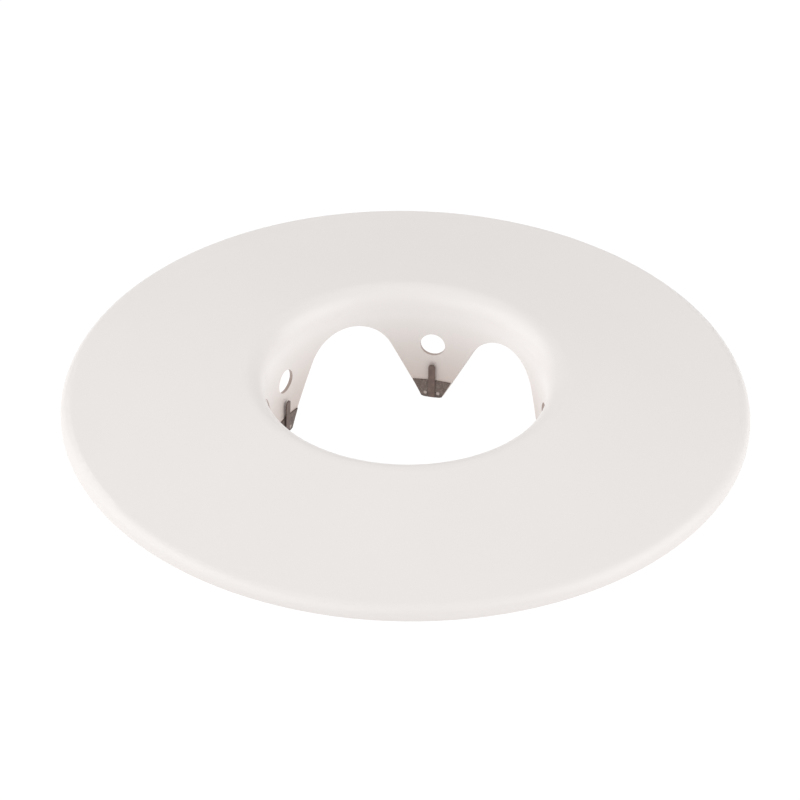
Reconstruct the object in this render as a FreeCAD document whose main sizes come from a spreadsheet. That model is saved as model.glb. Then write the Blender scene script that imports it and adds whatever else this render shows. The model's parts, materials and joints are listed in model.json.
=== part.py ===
"""Escutcheon ring for a recessed ceiling sprinkler.

A pressed-steel trim ring whose skirt is cut into tapering tabs. A bare steel shoe is folded over the
tip of each tab, and a narrow steel tongue stands on the shoe's inner side and grips the sprinkler's cup.

Millimetres and degrees. Z = 0 is the plane of the rim that seats on the ceiling, +Z is the way the
visible face looks, and the ring's axis is Z. One arch of the skirt is centred on -Y.
"""
import FreeCAD, Part
import Sketcher
import math
import os
from types import SimpleNamespace

SIZES = {
    # the pressed ring
    "flange_diameter": 127.0,
    "sheet_thickness": 0.6,
    "rim_height": 2.5,
    "rim_roll_radius": 2.3,
    "crown_height": 7.0,
    "lip_radius": 3.6,
    "throat_diameter": 52.0,
    "skirt_depth": 16.5,
    # the tabs, the round crown of the arches between them, and the tabs' holes
    "tab_count": 5,
    "tab_tip_width": 4.0,
    "arch_top": 0.5,
    "arch_crown_radius": 9.6,
    "tab_hole_diameter": 4.8,
    "tab_hole_depth": 4.6,
    # the shoe folded over each tab's tip, with a stake mark on each side of the tongue's foot
    "shoe_strip": 0.2,
    "shoe_height": 3.65,
    "shoe_top_width": 7.4,
    "stake_width": 0.9,
    "stake_height": 0.15,
    "stake_spacing": 2.5,
    "stake_rise": 0.8,
    # the tongue on the inner side of each shoe, leaning towards the axis from its foot
    "tongue_width": 1.3,
    "tongue_strip": 0.2,
    "tongue_length": 7.7,
    "tongue_lean": 2.0,
    "tongue_gap": 0.05,
    "tongue_overhang": 0.1,
}
OVERRUN = 5.0  # how far a cutting outline runs past what it cuts
FULL_TURN = 360

# which end of a sketch element a constraint speaks of, and the sketch's own origin and axes
START, END, CENTRE = 1, 2, 3
ORIGIN = (-1, START)
FLAT_AXIS, UPRIGHT_AXIS = -1, -2

doc = FreeCAD.newDocument("Escutcheon")
size = SimpleNamespace(**SIZES)


def fill_sheet():
    """Write the driving sizes into the document's spreadsheet, one named cell each."""
    sheet = doc.addObject("Spreadsheet::Sheet", "Sizes")
    for row, (name, value) in enumerate(SIZES.items(), start=1):
        sheet.set(f"A{row}", name)
        sheet.set(f"B{row}", str(value))
        sheet.setAlias(f"B{row}", name)
    doc.recompute()


def datum(body, role):
    """The body's own origin plane or axis of this role, as a link."""
    return (next(item for item in body.Origin.OriginFeatures if item.Role == role), [""])


def around(centre, radius, angle):
    """The point at this angle on a circle."""
    turn = math.radians(angle)
    return (centre[0] + radius * math.cos(turn), centre[1] + radius * math.sin(turn))


class Outline:
    """A closed sketch of lines and arcs, tied end to end and sized by formulas of the sheet's cells."""

    def __init__(self, body, name, plane):
        self.sketch = body.newObject("Sketcher::SketchObject", name)
        self.sketch.AttachmentSupport = datum(body, plane)
        self.sketch.MapMode = "FlatFace"

    def line(self, start, end):
        return self.sketch.addGeometry(
            Part.LineSegment(FreeCAD.Vector(*start, 0), FreeCAD.Vector(*end, 0)), False
        )

    def circle(self, centre, radius):
        return self.sketch.addGeometry(
            Part.Circle(FreeCAD.Vector(*centre, 0), FreeCAD.Vector(0, 0, 1), radius), False
        )

    def arc(self, centre, radius, first, last):
        circle = Part.Circle(FreeCAD.Vector(*centre, 0), FreeCAD.Vector(0, 0, 1), radius)
        return self.sketch.addGeometry(
            Part.ArcOfCircle(circle, math.radians(first), math.radians(last)), False
        )

    def tie(self, kind, *items):
        return self.sketch.addConstraint(Sketcher.Constraint(kind, *items))

    def ties(self, kind, *groups):
        for group in groups:
            self.tie(kind, *group)

    def present(self, kind, *items):
        """What a dimension measures on the outline as it is drawn."""
        if kind in ("Radius", "Diameter"):
            return self.sketch.Geometry[items[0]].Radius * (2 if kind == "Diameter" else 1)
        gap = self.sketch.getPoint(*items[2:]) - self.sketch.getPoint(*items[:2])
        return gap.x if kind == "DistanceX" else gap.y

    def drive(self, name, formula, kind, *items):
        """Add a dimension at its present value and bind it to a formula."""
        index = self.tie(kind, *items, self.present(kind, *items))
        self.sketch.renameConstraint(index, name)
        self.sketch.setExpression(f"Constraints.{name}", formula)

    def shift(self, **formulas):
        """Bind the sketch's offset from its plane, such as z="Sizes.throat_diameter / 2"."""
        for direction, formula in formulas.items():
            self.sketch.setExpression(f"AttachmentOffset.Base.{direction}", formula)

    def turn(self, axis, formula):
        """Turn the sketch on its plane about one of the plane's own directions."""
        self.sketch.AttachmentOffset = FreeCAD.Placement(
            FreeCAD.Vector(), FreeCAD.Rotation(FreeCAD.Vector(*axis), 1)
        )
        self.sketch.setExpression("AttachmentOffset.Rotation.Angle", formula)

    def close(self):
        """Solve the sketch and insist that nothing in it is left free."""
        doc.recompute()
        if self.sketch.solve() != 0 or not self.sketch.FullyConstrained:
            raise RuntimeError(f"{self.sketch.Name} is not fully constrained")
        return self.sketch


def new_body(name):
    body = doc.addObject("PartDesign::Body", name)
    body.Label = name
    return body


def revolve(body, name, sketch, angle):
    """Revolve a sketch about Z, half of the angle to each side of its plane."""
    feature = body.newObject("PartDesign::Revolution", name)
    feature.Profile = sketch
    feature.ReferenceAxis = datum(body, "Z_Axis")
    feature.Midplane = True
    feature.setExpression("Angle", angle)
    doc.recompute()
    return feature


def cut_through(body, name, sketch):
    """Cut a sketch through everything on the side that its plane looks to."""
    before = body.Shape.Volume
    feature = body.newObject("PartDesign::Pocket", name)
    feature.Profile = sketch
    feature.Type = "ThroughAll"
    feature.Reversed = True
    doc.recompute()
    if feature.Shape.Volume >= before:
        raise RuntimeError(f"{name} cuts nothing")
    return feature


def ring_profile(body):
    """The pressed sheet's section: seat, rolled rim, sloping face, lip and skirt, all one thickness."""
    sheet = size.sheet_thickness
    rim = size.flange_diameter / 2
    wall = size.throat_diameter / 2
    roll = (rim - size.rim_roll_radius, size.rim_height - size.rim_roll_radius)
    lip = (wall + size.lip_radius, size.crown_height - size.lip_radius)
    slope = math.degrees(math.atan2(size.crown_height - size.rim_height, roll[0] - lip[0]))
    square = 90 - slope

    outline = Outline(body, "ring_profile", "XZ_Plane")
    rim_outside = outline.line((rim, 0), (rim, roll[1]))
    roll_outside = outline.arc(roll, size.rim_roll_radius, 0, square)
    face = outline.line(around(roll, size.rim_roll_radius, square), around(lip, size.lip_radius, square))
    lip_outside = outline.arc(lip, size.lip_radius, square, 180)
    bore = outline.line((wall, lip[1]), (wall, -size.skirt_depth))
    tip = outline.line((wall, -size.skirt_depth), (wall + sheet, -size.skirt_depth))
    skirt_back = outline.line((wall + sheet, -size.skirt_depth), (wall + sheet, lip[1]))
    lip_inside = outline.arc(lip, size.lip_radius - sheet, square, 180)
    face_back = outline.line(
        around(lip, size.lip_radius - sheet, square), around(roll, size.rim_roll_radius - sheet, square)
    )
    roll_inside = outline.arc(roll, size.rim_roll_radius - sheet, 0, square)
    rim_inside = outline.line((rim - sheet, roll[1]), (rim - sheet, 0))
    seat = outline.line((rim - sheet, 0), (rim, 0))

    outline.ties(
        "Tangent",
        (rim_outside, END, roll_outside, START),
        (roll_outside, END, face, START),
        (face, END, lip_outside, START),
        (lip_outside, END, bore, START),
        (skirt_back, END, lip_inside, END),
        (lip_inside, START, face_back, START),
        (face_back, END, roll_inside, END),
        (roll_inside, START, rim_inside, START),
    )
    outline.ties(
        "Coincident",
        (bore, END, tip, START),
        (tip, END, skirt_back, START),
        (rim_inside, END, seat, START),
        (seat, END, rim_outside, START),
        (roll_outside, CENTRE, roll_inside, CENTRE),
        (lip_outside, CENTRE, lip_inside, CENTRE),
    )
    outline.ties("Vertical", (rim_outside,), (bore,), (skirt_back,), (rim_inside,))
    outline.ties("Horizontal", (tip,), (seat,))
    outline.tie("PointOnObject", seat, START, FLAT_AXIS)
    outline.drive("rim_radius", "Sizes.flange_diameter / 2", "DistanceX", *ORIGIN, rim_outside, START)
    outline.drive("bore_radius", "Sizes.throat_diameter / 2", "DistanceX", *ORIGIN, bore, END)
    outline.drive("skirt_depth", "Sizes.skirt_depth", "DistanceY", bore, END, *ORIGIN)
    outline.drive("roll_radius", "Sizes.rim_roll_radius", "Radius", roll_outside)
    outline.drive("lip_radius", "Sizes.lip_radius", "Radius", lip_outside)
    outline.drive(
        "roll_height", "Sizes.rim_height - Sizes.rim_roll_radius", "DistanceY", *ORIGIN, roll_outside, CENTRE
    )
    outline.drive(
        "lip_height", "Sizes.crown_height - Sizes.lip_radius", "DistanceY", *ORIGIN, lip_outside, CENTRE
    )
    outline.drive("tip_sheet", "Sizes.sheet_thickness", "DistanceX", tip, START, tip, END)
    outline.drive("seat_sheet", "Sizes.sheet_thickness", "DistanceX", seat, START, seat, END)
    return outline.close()


def arch_outline(body, name, reach, reach_formula):
    """The arch at this distance from the axis, between the sides of two tabs. It grows with distance about
    its own top, so that the cut runs square to the skirt's wall, and its straight sides end at the tabs'
    tips, which the skirt's curve brings nearer than the arch's crown."""
    wall = size.throat_diameter / 2
    grow = reach / wall
    radius = size.arch_crown_radius * grow
    centre = (0, size.arch_top - radius)
    tip_turn = math.pi / size.tab_count - math.asin(size.tab_tip_width / size.throat_diameter)
    half_tip = reach * math.tan(tip_turn)
    tip_drop = (size.arch_top + size.skirt_depth) * grow / math.cos(tip_turn)
    tip = size.arch_top - tip_drop
    foot_level = tip - OVERRUN
    away = math.hypot(half_tip, tip_drop - radius)
    flank = math.degrees(math.acos(radius / away) - math.atan2(tip_drop - radius, half_tip))
    shoulder = around(centre, radius, flank)

    outline = Outline(body, name, "XZ_Plane")
    crown = outline.arc(centre, radius, flank, 180 - flank)
    right = outline.line(shoulder, (half_tip, tip))
    left = outline.line((-shoulder[0], shoulder[1]), (-half_tip, tip))
    right_drop = outline.line((half_tip, tip), (half_tip, foot_level))
    left_drop = outline.line((-half_tip, tip), (-half_tip, foot_level))
    foot = outline.line((-half_tip, foot_level), (half_tip, foot_level))
    outline.ties("Tangent", (crown, START, right, START), (crown, END, left, START))
    outline.ties(
        "Coincident",
        (right, END, right_drop, START),
        (left, END, left_drop, START),
        (right_drop, END, foot, END),
        (left_drop, END, foot, START),
    )
    outline.ties("Vertical", (right_drop,), (left_drop,))
    outline.tie("Horizontal", foot)
    outline.tie("PointOnObject", crown, CENTRE, UPRIGHT_AXIS)
    outline.tie("Symmetric", right, END, left, END, UPRIGHT_AXIS)
    grow_formula = f"({reach_formula}) / (Sizes.throat_diameter / 2)"
    turn_formula = "180 deg / Sizes.tab_count - asin(Sizes.tab_tip_width / Sizes.throat_diameter)"
    outline.drive("crown_radius", f"Sizes.arch_crown_radius * {grow_formula}", "Radius", crown)
    outline.drive(
        "crown_height",
        f"Sizes.arch_top - Sizes.arch_crown_radius * {grow_formula}",
        "DistanceY", *ORIGIN, crown, CENTRE,
    )
    outline.drive(
        "tip_width", f"2 * ({reach_formula}) * tan({turn_formula})", "DistanceX", left, END, right, END
    )
    outline.drive(
        "tip_depth",
        f"(Sizes.arch_top + Sizes.skirt_depth) * {grow_formula} / cos({turn_formula}) - Sizes.arch_top",
        "DistanceY", right, END, *ORIGIN,
    )
    outline.drive("foot_drop", str(OVERRUN), "DistanceY", right_drop, END, right_drop, START)
    outline.shift(z=reach_formula)
    return outline.close()


def make_ring():
    """The ring: one revolved sheet, with the arches and the tabs' holes cut out of its skirt."""
    body = new_body("escutcheon_ring")
    revolve(body, "sheet", ring_profile(body), str(FULL_TURN))
    blank = body.Shape.Volume

    wall = size.throat_diameter / 2
    near = arch_outline(body, "arch_near", wall / 2, "Sizes.throat_diameter / 4")
    far = arch_outline(
        body, "arch_far", wall + size.sheet_thickness + OVERRUN,
        f"Sizes.throat_diameter / 2 + Sizes.sheet_thickness + {OVERRUN}",
    )
    arch = body.newObject("PartDesign::SubtractiveLoft", "arch")
    arch.Profile = near
    arch.Sections = [far]
    arch.Ruled = True
    doc.recompute()
    if arch.Shape.Volume >= blank:
        raise RuntimeError("the arch cuts nothing")

    hole = Outline(body, "tab_hole_outline", "XZ_Plane")
    rim = hole.circle((0, -size.tab_hole_depth), size.tab_hole_diameter / 2)
    hole.tie("PointOnObject", rim, CENTRE, UPRIGHT_AXIS)
    hole.drive("hole_diameter", "Sizes.tab_hole_diameter", "Diameter", rim)
    hole.drive("hole_depth", "Sizes.tab_hole_depth", "DistanceY", rim, CENTRE, *ORIGIN)
    hole.turn((0, 1, 0), "180 / Sizes.tab_count")
    tab_hole = cut_through(body, "tab_hole", hole.close())

    one_arch = tab_hole.Shape.Volume
    pattern = body.newObject("PartDesign::PolarPattern", "tabs")
    pattern.Originals = [arch, tab_hole]
    pattern.Axis = datum(body, "Z_Axis")
    pattern.Angle = FULL_TURN
    pattern.setExpression("Occurrences", "Sizes.tab_count")
    body.Tip = pattern
    doc.recompute()
    if body.Shape.Volume >= one_arch:
        raise RuntimeError("the pattern cuts nothing")
    return body


def fold_profile(body):
    """The shoe's section: a strip folded round the sheet, its inner leaf on the skirt's inner wall."""
    sheet = size.sheet_thickness
    wall = size.throat_diameter / 2
    strip = size.shoe_strip
    low = -size.skirt_depth
    top = low + size.shoe_height
    centre = (wall + sheet / 2, low)

    outline = Outline(body, "fold_profile", "XZ_Plane")
    inner_front = outline.line((wall - strip, top), (wall - strip, low))
    bend_outside = outline.arc(centre, sheet / 2 + strip, 180, 360)
    outer_front = outline.line((wall + sheet + strip, low), (wall + sheet + strip, top))
    outer_cap = outline.line((wall + sheet + strip, top), (wall + sheet, top))
    outer_back = outline.line((wall + sheet, top), (wall + sheet, low))
    bend_inside = outline.arc(centre, sheet / 2, 180, 360)
    inner_back = outline.line((wall, low), (wall, top))
    inner_cap = outline.line((wall, top), (wall - strip, top))

    outline.ties(
        "Tangent",
        (inner_front, END, bend_outside, START),
        (bend_outside, END, outer_front, START),
        (outer_back, END, bend_inside, END),
        (bend_inside, START, inner_back, START),
    )
    outline.ties(
        "Coincident",
        (outer_front, END, outer_cap, START),
        (outer_cap, END, outer_back, START),
        (inner_back, END, inner_cap, START),
        (inner_cap, END, inner_front, START),
        (bend_outside, CENTRE, bend_inside, CENTRE),
    )
    outline.ties("Vertical", (inner_front,), (outer_front,), (outer_back,), (inner_back,))
    outline.ties("Horizontal", (outer_cap,), (inner_cap,))
    outline.drive(
        "bend_radius", "Sizes.throat_diameter / 2 + Sizes.sheet_thickness / 2",
        "DistanceX", *ORIGIN, bend_outside, CENTRE,
    )
    outline.drive("bend_depth", "Sizes.skirt_depth", "DistanceY", bend_outside, CENTRE, *ORIGIN)
    outline.drive("inside_bend", "Sizes.sheet_thickness / 2", "Radius", bend_inside)
    outline.drive("outside_bend", "Sizes.sheet_thickness / 2 + Sizes.shoe_strip", "Radius", bend_outside)
    for name, cap in (("inner_height", inner_cap), ("outer_height", outer_cap)):
        outline.drive(name, "Sizes.shoe_height", "DistanceY", bend_outside, CENTRE, cap, START)
    return outline.close()


def shoe_trim(body):
    """What is cut away round the shoe: all outside its tapering sides and its rounded lower end."""
    half_tip = size.tab_tip_width / 2
    low = -size.skirt_depth
    drop = size.sheet_thickness / 2 + size.shoe_strip
    radius = (half_tip**2 + drop**2) / (2 * drop)
    opening = math.degrees(math.asin(half_tip / radius))
    top = low + size.shoe_height + OVERRUN
    taper = (size.shoe_top_width - size.tab_tip_width) / 2 / size.shoe_height
    half_top = half_tip + taper * (size.shoe_height + OVERRUN)
    half_wide = size.shoe_top_width + OVERRUN
    bottom = low - drop - OVERRUN

    outline = Outline(body, "shoe_trim", "YZ_Plane")
    nose = outline.arc((0, low - drop + radius), radius, 270 - opening, 270 + opening)
    right = outline.line((half_tip, low), (half_top, top))
    right_cap = outline.line((half_top, top), (half_wide, top))
    right_side = outline.line((half_wide, top), (half_wide, bottom))
    under = outline.line((half_wide, bottom), (-half_wide, bottom))
    left_side = outline.line((-half_wide, bottom), (-half_wide, top))
    left_cap = outline.line((-half_wide, top), (-half_top, top))
    left = outline.line((-half_top, top), (-half_tip, low))

    outline.ties(
        "Coincident",
        (nose, END, right, START),
        (right, END, right_cap, START),
        (right_cap, END, right_side, START),
        (right_side, END, under, START),
        (under, END, left_side, START),
        (left_side, END, left_cap, START),
        (left_cap, END, left, START),
        (left, END, nose, START),
    )
    outline.ties("Vertical", (right_side,), (left_side,))
    outline.ties("Horizontal", (right_cap,), (left_cap,), (nose, START, nose, END))
    outline.tie("PointOnObject", nose, CENTRE, UPRIGHT_AXIS)
    outline.ties(
        "Symmetric",
        (under, START, under, END, UPRIGHT_AXIS),
        (right, END, left, START, UPRIGHT_AXIS),
    )
    drop_formula = "(Sizes.sheet_thickness / 2 + Sizes.shoe_strip)"
    taper_formula = "(Sizes.shoe_top_width - Sizes.tab_tip_width) / Sizes.shoe_height"
    outline.drive("tip_width", "Sizes.tab_tip_width", "DistanceX", nose, START, nose, END)
    outline.drive("tip_depth", "Sizes.skirt_depth", "DistanceY", nose, START, *ORIGIN)
    outline.drive(
        "nose_radius",
        f"((Sizes.tab_tip_width / 2)^2 + {drop_formula}^2) / (2 * {drop_formula})",
        "Radius", nose,
    )
    outline.drive(
        "top_width",
        f"Sizes.tab_tip_width + {taper_formula} * (Sizes.shoe_height + {OVERRUN})",
        "DistanceX", left, START, right, END,
    )
    outline.drive("top_rise", f"Sizes.shoe_height + {OVERRUN}", "DistanceY", right, START, right, END)
    outline.drive(
        "outer_width", f"2 * (Sizes.shoe_top_width + {OVERRUN})", "DistanceX", under, END, under, START
    )
    outline.drive("under_drop", f"{drop_formula} + {OVERRUN}", "DistanceY", under, START, nose, START)
    return outline.close()


def make_shoe(number):
    """A shoe on the tab at this place: the fold swept along the wall, trimmed to shape, and staked."""
    body = new_body(f"tip_shoe_{number}")
    revolve(body, "fold", fold_profile(body), "180 / Sizes.tab_count")
    cut_through(body, "trim", shoe_trim(body))

    stake = body.newObject("PartDesign::AdditiveEllipsoid", "stake")
    stake.AttachmentSupport = datum(body, "YZ_Plane")
    stake.MapMode = "FlatFace"
    stake.setExpression("Radius1", "Sizes.stake_height")
    stake.setExpression("Radius2", "Sizes.stake_width / 2")
    stake.setExpression("Radius3", "Sizes.stake_width / 2")
    stake.setExpression("AttachmentOffset.Base.x", "Sizes.stake_spacing / 2")
    stake.setExpression("AttachmentOffset.Base.y", "Sizes.stake_rise - Sizes.skirt_depth")
    stake.setExpression("AttachmentOffset.Base.z", "Sizes.throat_diameter / 2 - Sizes.shoe_strip")
    doc.recompute()
    mirror = body.newObject("PartDesign::Mirrored", "stakes")
    mirror.Originals = [stake]
    mirror.MirrorPlane = datum(body, "XZ_Plane")
    body.Tip = mirror
    place_at_tab(body, number)
    return body


def make_tongue(number):
    """A tongue on the shoe at this place: a flat strip with a round top, leaning in from its foot."""
    body = new_body(f"grip_tongue_{number}")
    half = size.tongue_width / 2
    neck = size.tongue_length - half
    outline = Outline(body, "tongue_outline", "YZ_Plane")
    top = outline.arc((0, neck), half, 0, 180)
    right = outline.line((half, neck), (half, 0))
    foot = outline.line((half, 0), (-half, 0))
    left = outline.line((-half, 0), (-half, neck))
    outline.ties("Tangent", (top, START, right, START), (left, END, top, END))
    outline.ties("Coincident", (right, END, foot, START), (foot, END, left, START))
    outline.ties("Vertical", (right,), (left,))
    outline.tie("Horizontal", foot)
    outline.tie("PointOnObject", top, CENTRE, UPRIGHT_AXIS)
    outline.tie("PointOnObject", foot, START, FLAT_AXIS)
    outline.drive("top_radius", "Sizes.tongue_width / 2", "Radius", top)
    outline.drive(
        "neck_height", "Sizes.tongue_length - Sizes.tongue_width / 2", "DistanceY", *ORIGIN, top, CENTRE
    )
    outline.turn((-1, 0, 0), "Sizes.tongue_lean")
    outline.shift(
        y="-Sizes.skirt_depth - Sizes.tongue_overhang",
        z="Sizes.throat_diameter / 2 - Sizes.shoe_strip - Sizes.tongue_gap",
    )
    strip = body.newObject("PartDesign::Pad", "strip")
    strip.Profile = outline.close()
    strip.Reversed = True
    strip.setExpression("Length", "Sizes.tongue_strip")
    place_at_tab(body, number)
    return body


def place_at_tab(body, number):
    """Turn a body that was built on +X to the tab of this number, counting from the first after -Y."""
    body.Placement = FreeCAD.Placement(FreeCAD.Vector(), FreeCAD.Rotation(FreeCAD.Vector(0, 0, 1), 1))
    body.setExpression(
        "Placement.Rotation.Angle", f"270 + 180 / Sizes.tab_count + {number - 1} * 360 / Sizes.tab_count"
    )
    doc.recompute()


def write_step(bodies):
    """Check the whole document, then write one STEP file for each body."""
    doc.recompute()
    for item in doc.Objects:
        if "Invalid" in item.State or "Error" in item.State:
            raise RuntimeError(f"{item.Name} failed to recompute")
    for body in bodies:
        if body.Shape.isNull() or not body.Shape.isValid() or len(body.Shape.Solids) != 1:
            raise RuntimeError(f"{body.Label} is not one valid solid")
    os.makedirs("parts", exist_ok=True)
    for body in bodies:
        body.Shape.exportStep(f"parts/{body.Label}.step")
        print(f"{body.Label}: {body.Shape.Volume:.3f} mm3")


fill_sheet()
sub_parts = [make_ring()]
for tab in range(1, size.tab_count + 1):
    sub_parts += [make_shoe(tab), make_tongue(tab)]
write_step(sub_parts)
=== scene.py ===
import json
import math
import bpy
from mathutils import Matrix, Vector


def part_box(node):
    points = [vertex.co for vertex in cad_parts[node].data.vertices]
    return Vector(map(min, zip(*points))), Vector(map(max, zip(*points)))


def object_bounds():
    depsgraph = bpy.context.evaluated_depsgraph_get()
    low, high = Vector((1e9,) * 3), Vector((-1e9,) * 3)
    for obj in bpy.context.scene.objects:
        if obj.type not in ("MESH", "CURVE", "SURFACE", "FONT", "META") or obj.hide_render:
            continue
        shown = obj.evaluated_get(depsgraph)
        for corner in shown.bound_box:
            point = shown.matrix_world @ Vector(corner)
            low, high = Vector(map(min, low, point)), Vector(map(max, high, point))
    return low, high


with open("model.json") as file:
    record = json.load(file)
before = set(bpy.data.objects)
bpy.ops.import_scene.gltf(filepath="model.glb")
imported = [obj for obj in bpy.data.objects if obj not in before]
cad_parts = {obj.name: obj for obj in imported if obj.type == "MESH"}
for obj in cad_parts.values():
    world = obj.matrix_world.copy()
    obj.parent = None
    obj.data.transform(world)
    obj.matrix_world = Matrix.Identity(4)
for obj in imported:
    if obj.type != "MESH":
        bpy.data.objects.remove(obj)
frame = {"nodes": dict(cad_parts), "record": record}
cad_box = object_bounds()
ring_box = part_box("escutcheon_ring")
shoe_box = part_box("tip_shoe_1")

MM = 0.001
THROAT_RADIUS = 26.0 * MM
SHOE_STRIP = 0.2 * MM
SHOE_INNER_FACE = THROAT_RADIUS - SHOE_STRIP
SKIRT_REACH = THROAT_RADIUS + 2.0 * MM  # well outside the skirt and well inside the rim
SKIRT_TOP = 2.0 * MM  # a little below the lip's curve

# the powder coat on the face and on the sheet's cut edges, and painted shade down the tabs
FACE_TINTS = (0.790, 0.757, 0.738), (0.810, 0.778, 0.760)
# painted shade: the tabs darken towards their tips, standing in for the dimmer light low in the skirt
TAB_SHADE_TINT = (0.53, 0.432, 0.386)
CUT_EDGE_TINT = (0.45, 0.365, 0.33)

# the shoes' bare steel, its paler specks, painted shade in the fold and a painted glint on the stakes
SHOE_TINTS = (0.135, 0.100, 0.087), (0.170, 0.128, 0.111)
SPECK_TINT = (0.27, 0.215, 0.193)
# painted shade for the crease of the shoe's fold
FOLD_SHADE_TINT = (0.060, 0.042, 0.036)
# painted glint on the stake dimples beside the tongue's foot
STAKE_GLINT_TINT = (0.42, 0.35, 0.32)

# the tongues' tempered steel and its rolling lines
TONGUE_TINTS = (0.136, 0.093, 0.080), (0.168, 0.116, 0.100)
ROLLED_TINT = (0.21, 0.153, 0.135)

# where the soft lights stand round the ring, and how big they are, in degrees and metres
LIGHT_ELEVATION = 30
LIGHT_DISTANCE = 1.2
LIGHT_SIDE = 1.2


# ---------------------------------------------------------------- finishes

def new_finish(name):
    """A node material with its shader, and the object's own coordinates to drive patterns from."""
    material = bpy.data.materials.new(name)
    material.use_nodes = True
    nodes = material.node_tree.nodes
    shader = nodes["Principled BSDF"]
    coordinates = nodes.new("ShaderNodeTexCoord")
    return material, nodes, material.node_tree.links, shader, coordinates.outputs["Object"]


def noise(nodes, links, place, scale, detail=3.0, roughness=0.5):
    """A soft random pattern, with features about 1/scale metres apart."""
    pattern = nodes.new("ShaderNodeTexNoise")
    pattern.inputs["Scale"].default_value = scale
    pattern.inputs["Detail"].default_value = detail
    pattern.inputs["Roughness"].default_value = roughness
    links.new(place, pattern.inputs["Vector"])
    return pattern.outputs["Fac"]


def spread(nodes, links, value, low, high, out_low, out_high):
    """Stretch a value's useful part to a new range."""
    stretch = nodes.new("ShaderNodeMapRange")
    for socket, number in zip(stretch.inputs[1:5], (low, high, out_low, out_high)):
        socket.default_value = number
    links.new(value, stretch.inputs[0])
    return stretch.outputs["Result"]


def blend_colours(nodes, links, value, first, second):
    """Mix two colours; either can be a plain colour or the output of another mix."""
    mix = nodes.new("ShaderNodeMix")
    mix.data_type = "RGBA"
    links.new(value, mix.inputs["Factor"])
    for socket, colour in ((mix.inputs[6], first), (mix.inputs[7], second)):
        if isinstance(colour, tuple):
            socket.default_value = (*colour, 1)
        else:
            links.new(colour, socket)
    return mix.outputs[2]


def relief(nodes, links, height, strength, depth):
    """Fine surface unevenness, up to this many metres deep."""
    bump = nodes.new("ShaderNodeBump")
    bump.inputs["Strength"].default_value = strength
    bump.inputs["Distance"].default_value = depth
    links.new(height, bump.inputs["Height"])
    return bump.outputs["Normal"]


def height_above_seat(nodes, links, place):
    """How high a point of the surface is above the ceiling seat, in metres."""
    split = nodes.new("ShaderNodeSeparateXYZ")
    links.new(place, split.inputs["Vector"])
    return split.outputs["Z"]


def outward(nodes, links, vector):
    """A vector without its upright part, which is its reach from the ring's axis."""
    level = nodes.new("ShaderNodeVectorMath")
    level.operation = "MULTIPLY"
    level.inputs[1].default_value = (1, 1, 0)
    links.new(vector, level.inputs[0])
    return level.outputs["Vector"]


def distance_from_axis(nodes, links, place):
    """How far a point of the surface is from the ring's axis, in metres."""
    measure = nodes.new("ShaderNodeVectorMath")
    measure.operation = "LENGTH"
    links.new(outward(nodes, links, place), measure.inputs[0])
    return measure.outputs["Value"]


def cut_edges(nodes, links, place, normal):
    """1 on the sheet's cut edges round the holes and arches, where its face doesn't look at the axis."""
    toward = nodes.new("ShaderNodeVectorMath")
    toward.operation = "NORMALIZE"
    links.new(outward(nodes, links, place), toward.inputs[0])
    facing = nodes.new("ShaderNodeVectorMath")
    facing.operation = "DOT_PRODUCT"
    links.new(toward.outputs["Vector"], facing.inputs[0])
    links.new(normal, facing.inputs[1])
    squarely = nodes.new("ShaderNodeMath")
    squarely.operation = "ABSOLUTE"
    links.new(facing.outputs["Value"], squarely.inputs[0])
    sideways = spread(nodes, links, squarely.outputs["Value"], 0.8, 0.5, 0.0, 1.0)
    reach = distance_from_axis(nodes, links, place)
    on_skirt = spread(nodes, links, reach, SKIRT_REACH + 0.5 * MM, SKIRT_REACH, 0.0, 1.0)
    height = height_above_seat(nodes, links, place)
    below_lip = spread(nodes, links, height, SKIRT_TOP, SKIRT_TOP - 0.5 * MM, 0.0, 1.0)
    for part in (on_skirt, below_lip):
        both = nodes.new("ShaderNodeMath")
        both.operation = "MULTIPLY"
        links.new(sideways, both.inputs[0])
        links.new(part, both.inputs[1])
        sideways = both.outputs["Value"]
    return sideways


def white_powder_coat():
    """Semi-gloss warm white powder coat with a faint orange peel, thinner on cut edges, darkened down the
    tabs by painted shade.
    """
    material, nodes, links, shader, place = new_finish("white_powder_coat")
    cloud = noise(nodes, links, place, 45.0)
    face = blend_colours(nodes, links, cloud, *FACE_TINTS)
    height = height_above_seat(nodes, links, place)
    # painted shade, strongest at the tab tips
    tab_shade = spread(nodes, links, height, SKIRT_TOP, ring_box[0].z, 0.0, 1.0)
    tabs = blend_colours(nodes, links, tab_shade, face, TAB_SHADE_TINT)
    edges = cut_edges(nodes, links, place, nodes["Texture Coordinate"].outputs["Normal"])
    links.new(blend_colours(nodes, links, edges, tabs, CUT_EDGE_TINT), shader.inputs["Base Color"])
    gloss = spread(nodes, links, noise(nodes, links, place, 900.0), 0.3, 0.7, 0.30, 0.38)
    links.new(gloss, shader.inputs["Roughness"])
    peel = noise(nodes, links, place, 1100.0, detail=1.5)
    links.new(relief(nodes, links, peel, 0.10, 0.03 * MM), shader.inputs["Normal"])
    return material


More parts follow.
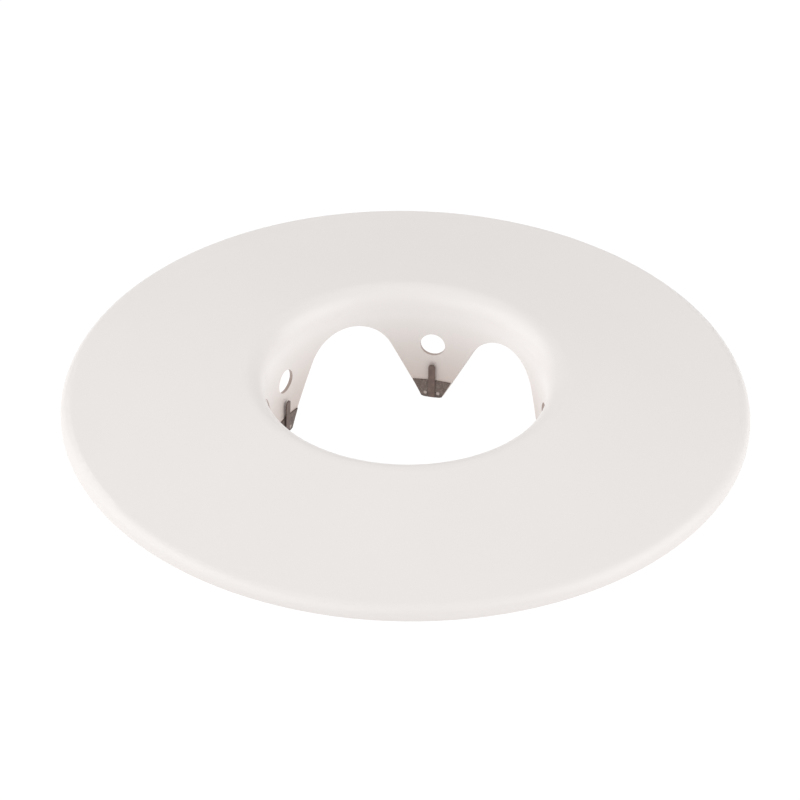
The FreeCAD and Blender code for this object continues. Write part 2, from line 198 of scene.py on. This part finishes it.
def mottled_shoe_steel():
    """Dark strip steel with a fine grit of paler specks, darkened at its fold by painted shade, with a
    painted glint on its stakes.
    """
    material, nodes, links, shader, place = new_finish("bare_shoe_steel")
    grit = noise(nodes, links, place, 3200.0, detail=2.0, roughness=0.75)
    stain = noise(nodes, links, place, 700.0, detail=2.0)
    base = blend_colours(nodes, links, spread(nodes, links, stain, 0.4, 0.6, 0, 1), *SHOE_TINTS)
    specks = spread(nodes, links, grit, 0.52, 0.66, 0, 0.55)
    speckled = blend_colours(nodes, links, specks, base, SPECK_TINT)
    height = height_above_seat(nodes, links, place)
    shoe_foot = shoe_box[0].z
    # painted shade, darkest at the shoe's fold
    fold = spread(nodes, links, height, shoe_foot + 0.9 * MM, shoe_foot + 0.1 * MM, 0.0, 0.75)
    fold_shaded = blend_colours(nodes, links, fold, speckled, FOLD_SHADE_TINT)
    reach = distance_from_axis(nodes, links, place)
    # painted glint on what stands proud of the shoe's inner face: the stakes
    stake_glint = spread(nodes, links, reach, SHOE_INNER_FACE - 0.02 * MM, SHOE_INNER_FACE - 0.10 * MM, 0.0, 1.0)
    links.new(blend_colours(nodes, links, stake_glint, fold_shaded, STAKE_GLINT_TINT), shader.inputs["Base Color"])
    links.new(spread(nodes, links, grit, 0.3, 0.7, 0.62, 0.38), shader.inputs["Roughness"])
    links.new(relief(nodes, links, grit, 0.5, 0.04 * MM), shader.inputs["Normal"])
    shader.inputs["Metallic"].default_value = 0.55
    return material


def tempered_tongue_steel():
    """Brown-grey tempered spring strip with faint lengthwise rolling lines."""
    material, nodes, links, shader, place = new_finish("tongue_spring_steel")
    stretch = nodes.new("ShaderNodeMapping")
    stretch.inputs["Scale"].default_value = (1, 1, 0.12)
    links.new(place, stretch.inputs["Vector"])
    rolled = noise(nodes, links, stretch.outputs["Vector"], 2600.0, detail=2.0)
    scale = noise(nodes, links, place, 800.0)
    brown = blend_colours(nodes, links, spread(nodes, links, scale, 0.4, 0.6, 0, 1), *TONGUE_TINTS)
    lines = spread(nodes, links, rolled, 0.45, 0.75, 0, 0.6)
    links.new(blend_colours(nodes, links, lines, brown, ROLLED_TINT), shader.inputs["Base Color"])
    links.new(spread(nodes, links, rolled, 0.3, 0.7, 0.42, 0.55), shader.inputs["Roughness"])
    links.new(relief(nodes, links, rolled, 0.3, 0.02 * MM), shader.inputs["Normal"])
    shader.inputs["Metallic"].default_value = 0.6
    return material


FINISHES = {
    "white_powder_coat": white_powder_coat(),
    "bare_shoe_steel": mottled_shoe_steel(),
    "tongue_spring_steel": tempered_tongue_steel(),
}

for entry in frame["record"]["subparts"]:
    node = frame["nodes"][entry["node"]]
    node.data.materials.clear()
    node.data.materials.append(FINISHES[entry["material_slot"]])


# ---------------------------------------------------------------- studio

def light_table():
    """A big plain white table, lit from inside, so that the ring lies on even white and casts no shadow."""
    glow, _, _, shader, _ = new_finish("table_white")
    shader.inputs["Base Color"].default_value = (0.04, 0.04, 0.04, 1)
    shader.inputs["Roughness"].default_value = 1.0
    shader.inputs["Specular IOR Level"].default_value = 0.0
    shader.inputs["Emission Color"].default_value = (1, 1, 1, 1)
    shader.inputs["Emission Strength"].default_value = 1.0
    bpy.ops.mesh.primitive_plane_add(size=6.0, location=(0, 0, cad_box[0].z - 0.1 * MM))
    table = bpy.context.object
    table.name = "table"
    table.data.materials.append(glow)


def direction(azimuth, elevation):
    """The way from the ring to a point this far round from +X and this far up, in degrees."""
    turn, rise = math.radians(azimuth), math.radians(elevation)
    return Vector((math.cos(turn) * math.cos(rise), math.sin(turn) * math.cos(rise), math.sin(rise)))


def soft_light(name, azimuth, power):
    """A big square area light that looks at the ring from this direction."""
    data = bpy.data.lights.new(name, "AREA")
    data.size = LIGHT_SIDE
    data.energy = power
    lamp = bpy.data.objects.new(name, data)
    bpy.context.scene.collection.objects.link(lamp)
    away = direction(azimuth, LIGHT_ELEVATION)
    lamp.location = away * LIGHT_DISTANCE
    lamp.rotation_euler = (-away).to_track_quat("-Z", "Y").to_euler()


def camera():
    """The view: down on the ring from the side opposite its furthest tab, a long way off."""
    back = direction(281.13, 35.571)
    roll = math.radians(0.885)
    distance = 635 * MM
    focus = Vector((0, 0, 2.5 * MM))
    level = Vector((0, 0, 1)).cross(back).normalized()
    upright = back.cross(level)
    right = level * math.cos(roll) + upright * math.sin(roll)
    up = upright * math.cos(roll) - level * math.sin(roll)
    data = bpy.data.cameras.new("camera")
    data.sensor_width = 36
    data.lens = 155.08
    data.shift_x, data.shift_y = -0.00727, -0.01027
    data.clip_start, data.clip_end = 0.01, 20
    eye = bpy.data.objects.new("camera", data)
    bpy.context.scene.collection.objects.link(eye)
    turn = Matrix((right, up, back)).transposed()
    eye.matrix_world = Matrix.Translation(focus + back * distance) @ turn.to_4x4()
    bpy.context.scene.camera = eye


def surroundings(strength):
    """Even white light from all round."""
    world = bpy.data.worlds.new("studio")
    world.use_nodes = True
    world.node_tree.nodes["Background"].inputs["Color"].default_value = (1, 1, 1, 1)
    world.node_tree.nodes["Background"].inputs["Strength"].default_value = strength
    bpy.context.scene.world = world


light_table()
surroundings(0.545)
soft_light("right", 0, 7.7)
soft_light("left", 180, 6.3)
soft_light("front", 240, 4.4)
camera()
bpy.context.scene.view_settings.view_transform = "Standard"
